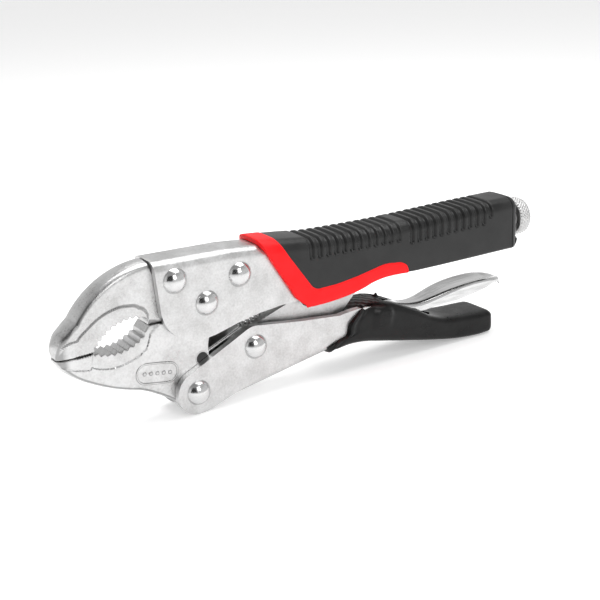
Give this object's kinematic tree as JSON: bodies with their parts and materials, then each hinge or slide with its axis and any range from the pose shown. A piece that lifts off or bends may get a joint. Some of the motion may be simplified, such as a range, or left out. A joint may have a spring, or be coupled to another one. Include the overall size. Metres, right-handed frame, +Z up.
{
  "type": "locking pliers",
  "caption": "Curved-jaw locking pliers with a folded steel body, over-centre toggle link, adjusting screw, release lever, ribbed grip above and a dipped sleeve below.",
  "frame": {"origin": "middle of the bounding box in plan, on the surface the pliers stand on with the lower handle down", "axes": "+X from the jaw tips to the adjusting knob, +Y through the thickness, +Z up from the lower handle to the upper one"},
  "size_m": [0.2374, 0.025, 0.0669],
  "materials": {
    "satin_steel": "satin nickel over blasted steel",
    "jaw_steel": "satin nickel over a forging",
    "rivet_steel": "polished nickel",
    "link_steel": "satin",
    "bush_steel": "dark, oiled",
    "screw_steel": "bright zinc",
    "knob_metal": "knurled, matt",
    "spring_wire": "drawn wire",
    "lever_chrome": "bright nickel",
    "grip_black": "matt moulded grip",
    "trim_red": "matt moulded trim",
    "sleeve_black": "dipped, slightly glossy"
  },
  "bodies": {
    "upper_half": {"upper_handle": "satin_steel", "upper_jaw": "jaw_steel", "jaw_rivets": "rivet_steel", "jaw_pivot": "rivet_steel", "threaded_bush": "bush_steel", "spring_pin": "screw_steel", "grip": "grip_black", "grip_trim": "trim_red", "return_spring": "spring_wire"},
    "lower_jaw": {"lower_jaw": "jaw_steel", "handle_pivot": "rivet_steel"},
    "lower_handle": {"lower_handle": "satin_steel", "lever_pivot": "rivet_steel", "handle_sleeve": "sleeve_black"},
    "toggle": {"toggle_link": "link_steel", "link_washers": "link_steel", "link_pivot": "rivet_steel"},
    "lever": {"release_lever": "lever_chrome"},
    "screw_stop": {"screw_ring": "screw_steel"},
    "screw": {"adjusting_screw": "screw_steel", "screw_knob": "knob_metal"}
  },
  "joints": [
    {"name": "jaw_hinge", "type": "hinge", "parent": "upper_half", "child": "lower_jaw", "pos_m": [-0.0555, 0, 0.0463], "axis": [0, -1, 0], "range_deg": [0, 20], "deforming": ["return_spring"]},
    {"name": "handle_hinge", "type": "hinge", "parent": "lower_jaw", "child": "lower_handle", "pos_m": [-0.0617, 0, 0.0093], "axis": [0, 1, 0], "range_deg": [0, 61.5]},
    {"name": "link_hinge", "type": "hinge", "parent": "lower_handle", "child": "toggle", "pos_m": [-0.0342, 0, 0.0227], "axis": [0, -1, 0], "range_deg": [0, 65.5]},
    {"name": "lever_hinge", "type": "hinge", "parent": "lower_handle", "child": "lever", "pos_m": [0.03, 0, 0.022], "axis": [0, 1, 0], "range_deg": [0, 5.5]},
    {"name": "screw_travel", "type": "slide", "parent": "upper_half", "child": "screw_stop", "axis": [1, 0, 0], "range_m": [0, 0.02]},
    {"name": "screw_turn", "type": "hinge", "parent": "screw_stop", "child": "screw", "pos_m": [0.08, 0, 0.0505], "axis": [1, 0, 0], "range_deg": [0, 5762]}
  ],
  "couplings": [
    {"joint": "handle_hinge", "follows": "jaw_hinge", "ratio": 3.05},
    {"joint": "link_hinge", "follows": "jaw_hinge", "ratio": 3.25},
    {"joint": "screw_turn", "follows": "screw_travel", "rad_per_m": 5026.5}
  ]
}
